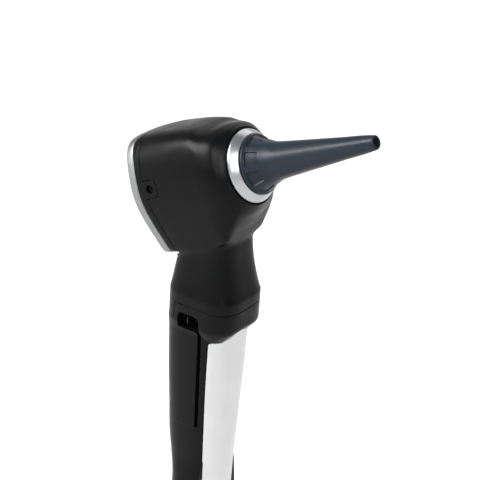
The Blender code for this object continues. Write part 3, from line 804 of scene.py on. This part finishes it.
def build_front():
    """The silver ring, and the cone inside it that the speculum pushes onto."""
    ring = rounded(((7.5, -0.2), (9.85, -0.2), (9.97, 0.0), (9.97, 0.65), (8.4, 2.7), (7.5, 2.7)),
                   [0.0, 0.1, 0.1, 0.22, 0.2, 0.15])
    place_piece(turned("front_ring", ring, HEAD), "head", "satin_aluminium", SILVER,
                "speculum_ring")
    seat = rounded(((3.3, -4.0), (6.9, -4.0), (6.9, 2.4), (6.2, 2.9), (5.0, 5.6), (4.15, 8.6),
                    (3.85, 10.0), (2.9, 10.0)), [0.0, 0.0, 0.3, 0.5, 1.0, 0.8, 0.3, 0.2])
    place_piece(turned("seat_cone", seat, HEAD), "head", "black_plastic", BLACK, "speculum_seat")


# ---------------------------------------------------------------- handle

def panel_edge(height):
    heights, edges = zip(*PANEL_EDGES)
    return float(np.interp(height, heights, edges))


def corner_pull(height, top, radius):
    """How far a strip's edge draws back near its top, for a rounded corner."""
    depth = max(0.0, radius - (top - height))
    return radius - math.sqrt(max(0.0, radius * radius - depth * depth))


def wall_strip(name, heights, outer, inner, edge, rear_side, outline=handle_row):
    """A strip of the handle's wall behind (or ahead of) an edge, between two insets."""
    rings = []
    for height in heights:
        row = outline(height)
        outside = open_ring(row, height, outer, edge(height), rear_side)
        inside = open_ring(row, height, inner, edge(height), rear_side)
        rings.append(np.concatenate((outside, inside[::-1])))
    return loft(name, rings)


def droop(item):
    """Sink the collar's lower edge towards both sides of the front, as an arch."""
    for vertex in item.data.vertices:
        x, y, z = vertex.co / MM
        rise = float(np.interp(z, DROOP_HEIGHTS, (0.0, 1.0, 1.0, 0.0)))
        ahead = min(1.0, max(0.0, (DROOP_START - y) / DROOP_DEPTH))
        vertex.co.z -= COLLAR_DROOP * MM * rise * ahead * min(1.0, (x / DROOP_HALF_WIDTH) ** 2)
    return item


def handle_loft(name, heights, inset=0.0):
    return loft(name, [even_squared(handle_row(height), height, inset) for height in heights])


def corner_levels(top, radius):
    return [top - radius * (1 - math.sin(math.radians(angle))) for angle in (0, 20, 40, 55, 70, 80)]


def panel_front_edge(grow):
    """The panel's edge, or its bed's when grown, with a rounded corner at the top."""
    top = PANEL_TOP + grow
    return lambda height: panel_edge(height) + grow - corner_pull(height, top, PANEL_CORNER + grow)


def panel_bed():
    """The recess in the handle's front that the panel lies in."""
    gap = PANEL_GAP
    top = PANEL_TOP + gap
    heights = levels(PANEL_FOOT - gap, top, 1.0, *corner_levels(top, PANEL_CORNER + gap))
    edge = panel_front_edge(gap)
    return droop(wall_strip("panel_bed", heights, -4.0, PANEL_SKIN + gap, edge, False, panel_row))


def build_handle():
    """The casing: chamber, battery bore, panel bed, the tongue's slot, thumb notch and tab way."""
    heights = levels(HANDLE_FOOT, SEAM - SEAM_GAP, 0.8, *(row[0] for row in HANDLE_STATIONS))
    item = droop(handle_loft("handle_body", heights))
    chamber = handle_loft("chamber_cut", levels(78.5, SEAM + 2.0, 2.0), HANDLE_WALL)
    bore = ((0.0, 0.0), (6.5, 0.0), (6.5, 14.2), (BATTERY_RADIUS, 14.2), (BATTERY_RADIUS, 80.0),
            (0.0, 80.0))
    front, root, top = LEVER_FRONT - SLOT_WIDTH, LEVER_ROOT - 0.02, LEVER_TOP + 0.08
    opening = rounded(((front, SLOT_FOOT), (LEVER_FRONT, SLOT_FOOT), (LEVER_FRONT, root),
                       (20.0, root), (20.0, top), (front, top)), [0.2, 0, 0, 0, 0, 0.4])
    low, (front, rear) = LEVER_TOP - 1.0, NOTCH_SPAN
    notch = rounded(((front - 0.6, low), (rear, low), (rear, NOTCH_TOP), (front - 0.2, NOTCH_TOP)),
                    [0, 0, 1.9, 1.2])
    front, low = TAB_FRONT - 0.08, SEAM - TAB_DEPTH - TAB_GAP
    tab = rounded(((front, low), (20.0, low), (20.0, SEAM + 5.0), (front, SEAM + 5.0)),
                  [1.1, 0, 0, 0])
    cut(item, chamber, turned("battery_bore", bore, centre=(0.0, CORE_Y)), panel_bed(),
        prism("lever_way", opening, *ACROSS_HANDLE), prism("thumb_notch", notch, *ACROSS_HANDLE),
        prism("tab_way", tab, *ACROSS_HANDLE))
    place_piece(item, "handle", "black_plastic", BLACK, "handle_shell")


def build_panel():
    heights = levels(PANEL_FOOT, PANEL_TOP, 1.0, *corner_levels(PANEL_TOP, PANEL_CORNER))
    item = wall_strip("grip_panel", heights, 0.0, PANEL_SKIN, panel_front_edge(0.0), False,
                      panel_row)
    soften(droop(item), 0.14)
    place_piece(item, "handle", "satin_aluminium", LIT_PANEL_SILVER, "front_panel")


def build_lever():
    """The tongue that flexes from the casing; it is attached to no body."""
    def edge(height):
        return LEVER_FRONT + corner_pull(height, LEVER_TOP, LEVER_CORNER)

    heights = levels(LEVER_ROOT, LEVER_TOP, 1.0, *corner_levels(LEVER_TOP, LEVER_CORNER))
    item = wall_strip("switch_tongue", heights, 0.0, LEVER_WALL, edge, True)
    place_piece(item, None, "black_plastic", BLACK, "switch_lever")
    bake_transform(item)


def side_block(name, side, low, high):
    """A block on one side of the handle, given by its corners on the +X side."""
    near, far = sorted((side * low[0], side * high[0]))
    return block(name, (near, *low[1:]), (far, *high[1:]))


def build_chassis():
    """The carrier inside the top of the handle, seen through the thumb notch."""
    core = (0.0, CORE_Y)
    item = handle_loft("inner_carrier", levels(CHASSIS_BASE, CHASSIS_TOP, 1.5), CHASSIS_INSET)
    cut(item,
        drill("cell_way", 5.6, 70.0, 104.8, centre=core),
        drill("contact_socket", 5.8, 106.6, 120.0, centre=core),
        drill("pin_way", 1.3, 100.0, 110.0, centre=core, steps=32),
        block("carrier_back", (-20.0, 6.7, 60.0), (20.0, 20.0, 130.0)))
    for side in (-1.0, 1.0):
        cut(item, side_block("latch_recess", side, *LATCH_RECESS))
        combine(item, "UNION", [soften(side_block("latch_rib", side, *LATCH_RIB), 0.12)])
    place_piece(item, "handle", "black_plastic", GLOSS_BLACK, "chassis")


def build_base_cap():
    """The battery cap: rounded foot with a coin slot and a groove, and the plug above."""
    core = (0.0, CORE_Y)
    rings = []
    for height in levels(0.0, CAP_TOP, 0.5, *(row[0] for row in CAP_EDGE), 8.85, 8.93):
        pull = sum(float(np.interp(height, *zip(*table))) for table in (CAP_EDGE, CAP_SEAM))
        row = handle_row(max(CAP_FOOT_ROW, height))
        rings.append(even_squared(row, height, pull, count=OUTLINE_STEPS * 2))
    item = loft("battery_cap", rings)
    plug = rounded(((0.0, 5.0), (6.2, 5.0), (6.2, 10.8), (5.4, 10.8), (5.4, 12.4), (6.2, 12.4),
                    (6.2, 13.6), (0.0, 13.6)), [0, 0, 0, 0, 0, 0, 0.3, 0])
    combine(item, "UNION", [turned("plug_form", plug, centre=core)])
    slot = rounded(((-5.6, -1.0), (5.6, -1.0), (5.0, 1.6), (-5.0, 1.6)), [0, 0, 0.9, 0.9])
    groove = rounded(((6.6, -1.0), (7.0, -1.0), (7.0, 0.35), (6.6, 0.35)), [0, 0, 0.1, 0.1])
    cut(item, drill("spring_well", 4.8, 3.0, 20.0, centre=core),
        prism("coin_slot", slot, -0.85, 0.85),
        turned("foot_groove", groove, centre=(0.0, -0.2)))
    place_piece(item, "cap", "black_plastic", BLACK, "base_cap")


def dress_nodes():
    """Procedural finishes for the CAD parts that keep their own shape."""
    finishes = {"satin_aluminium": SILVER, "steel": STEEL, "brass": BRASS, "circuit_board": BOARD,
                "cell_sleeve": CELL, "black_rubber": RUBBER, "light_guide": PIPE,
                "black_plastic": BLACK, "slate_plastic": SLATE, "lens_glass": GLASS}
    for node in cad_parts.values():
        for slot in node.material_slots:
            name = slot.material.name.split(".")[0] if slot.material else "black_plastic"
            slot.material = finishes.get(name, BLACK)


# ---------------------------------------------------------------- stage

CAMERA_AZIMUTH = -55.629
CAMERA_ELEVATION = 24.997
CAMERA_ROLL = 3.906
CAMERA_DISTANCE = 417.868
CAMERA_AIM = (6.985, 15.633)
CAMERA_TARGET = (0.0, 0.0, SEAM)
CAMERA_LENS = 112.0
CAMERA_SENSOR = 36.0
CAMERA_CLIP = (0.01, 20.0)      # metres

FLOOR_REACH = 6000.0
FLOOR_HEIGHT = -0.2
FLOOR_TONES = (0.28, 0.30)
FLOOR_GLOW = 0.84               # keeps the paper white right up to the object
SKY_LOW, SKY_HIGH = 0.9, 0.32   # the surroundings at the horizon, and overhead
SKY_TURN = 0.3                  # how high up they reach the overhead tone
LIGHT_AIM = (0.0, 0.0, 140.0)
# Lights: name, position in millimetres, width and height in metres, power in watts.
LIGHTS = (
    ("key", (-410.0, -330.0, 580.0), (0.10, 0.52), 3.0),
    ("top_left", (-370.0, 280.0, 560.0), (0.34, 0.36), 7.0),
    ("rear_left", (-400.0, 500.0, 360.0), (0.10, 0.40), 1.5),
    ("rear_right", (500.0, 200.0, 560.0), (0.45, 0.45), 0.8),
)


def build_camera():
    azimuth, elevation = math.radians(CAMERA_AZIMUTH), math.radians(CAMERA_ELEVATION)
    back = Vector((math.sin(azimuth) * math.cos(elevation),
                   -math.cos(azimuth) * math.cos(elevation), math.sin(elevation)))
    level = (-back).cross(Vector((0.0, 0.0, 1.0))).normalized()
    top = level.cross(-back)
    roll = math.radians(CAMERA_ROLL)
    right = level * math.cos(roll) + top * math.sin(roll)
    up = top * math.cos(roll) - level * math.sin(roll)
    target = Vector(CAMERA_TARGET) + right * CAMERA_AIM[0] + up * CAMERA_AIM[1]
    data = bpy.data.cameras.new("camera")
    data.lens = CAMERA_LENS
    data.sensor_width = CAMERA_SENSOR
    data.clip_start, data.clip_end = CAMERA_CLIP
    camera = bpy.data.objects.new("camera", data)
    bpy.context.scene.collection.objects.link(camera)
    turn = Matrix((right, up, back)).transposed().to_4x4()
    camera.matrix_world = Matrix.Translation((target + back * CAMERA_DISTANCE) * MM) @ turn
    bpy.context.scene.camera = camera


def softbox(name, position, size, power):
    """A rectangular soft light, aimed at the middle of the object."""
    data = bpy.data.lights.new(name, "AREA")
    data.shape = "RECTANGLE"
    data.size, data.size_y = size
    data.energy = power
    lamp = bpy.data.objects.new(name, data)
    bpy.context.scene.collection.objects.link(lamp)
    lamp.location = Vector(position) * MM
    towards = Vector(LIGHT_AIM) - Vector(position)
    lamp.rotation_euler = towards.to_track_quat("-Z", "Y").to_euler()


def grey(tone):
    return (tone, tone, tone, 1.0)


def build_floor():
    corners = ((-1, -1), (1, -1), (1, 1), (-1, 1))
    floor = make("floor", [(x * FLOOR_REACH, y * FLOOR_REACH, FLOOR_HEIGHT) for x, y in corners],
                 [(0, 1, 2, 3)])
    nodes = Nodes("floor_paper")
    tone = nodes.mix(nodes.noise(3.0, 2.0), *(grey(tone) for tone in FLOOR_TONES))
    nodes.feed(nodes.shader, "Base Color", tone)
    nodes.shader.inputs["Roughness"].default_value = 0.9
    nodes.shader.inputs["Specular IOR Level"].default_value = 0.1
    nodes.shader.inputs["Emission Color"].default_value = grey(1.0)
    nodes.shader.inputs["Emission Strength"].default_value = FLOOR_GLOW
    floor.data.materials.append(nodes.material)


def build_sky():
    """Surroundings that are pale at the horizon and darker overhead."""
    world = bpy.data.worlds.new("studio")
    world.use_nodes = True
    tree = world.node_tree
    place = tree.nodes.new("ShaderNodeTexCoord")
    parts = tree.nodes.new("ShaderNodeSeparateXYZ")
    ramp = tree.nodes.new("ShaderNodeValToRGB")
    tree.links.new(place.outputs["Generated"], parts.inputs[0])
    tree.links.new(parts.outputs["Z"], ramp.inputs[0])
    tree.links.new(ramp.outputs[0], tree.nodes["Background"].inputs["Color"])
    low, high = ramp.color_ramp.elements
    low.color = grey(SKY_LOW)
    high.position = SKY_TURN
    high.color = grey(SKY_HIGH)
    bpy.context.scene.world = world


def build_stage():
    build_floor()
    build_sky()
    bpy.context.scene.view_settings.view_transform = "Standard"
    for light in LIGHTS:
        softbox(*light)


dress_nodes()
build_head()
build_rear_frame()
build_lens()
build_speculum()
build_front()
build_handle()
build_panel()
build_lever()
build_chassis()
build_base_cap()
build_camera()
build_stage()
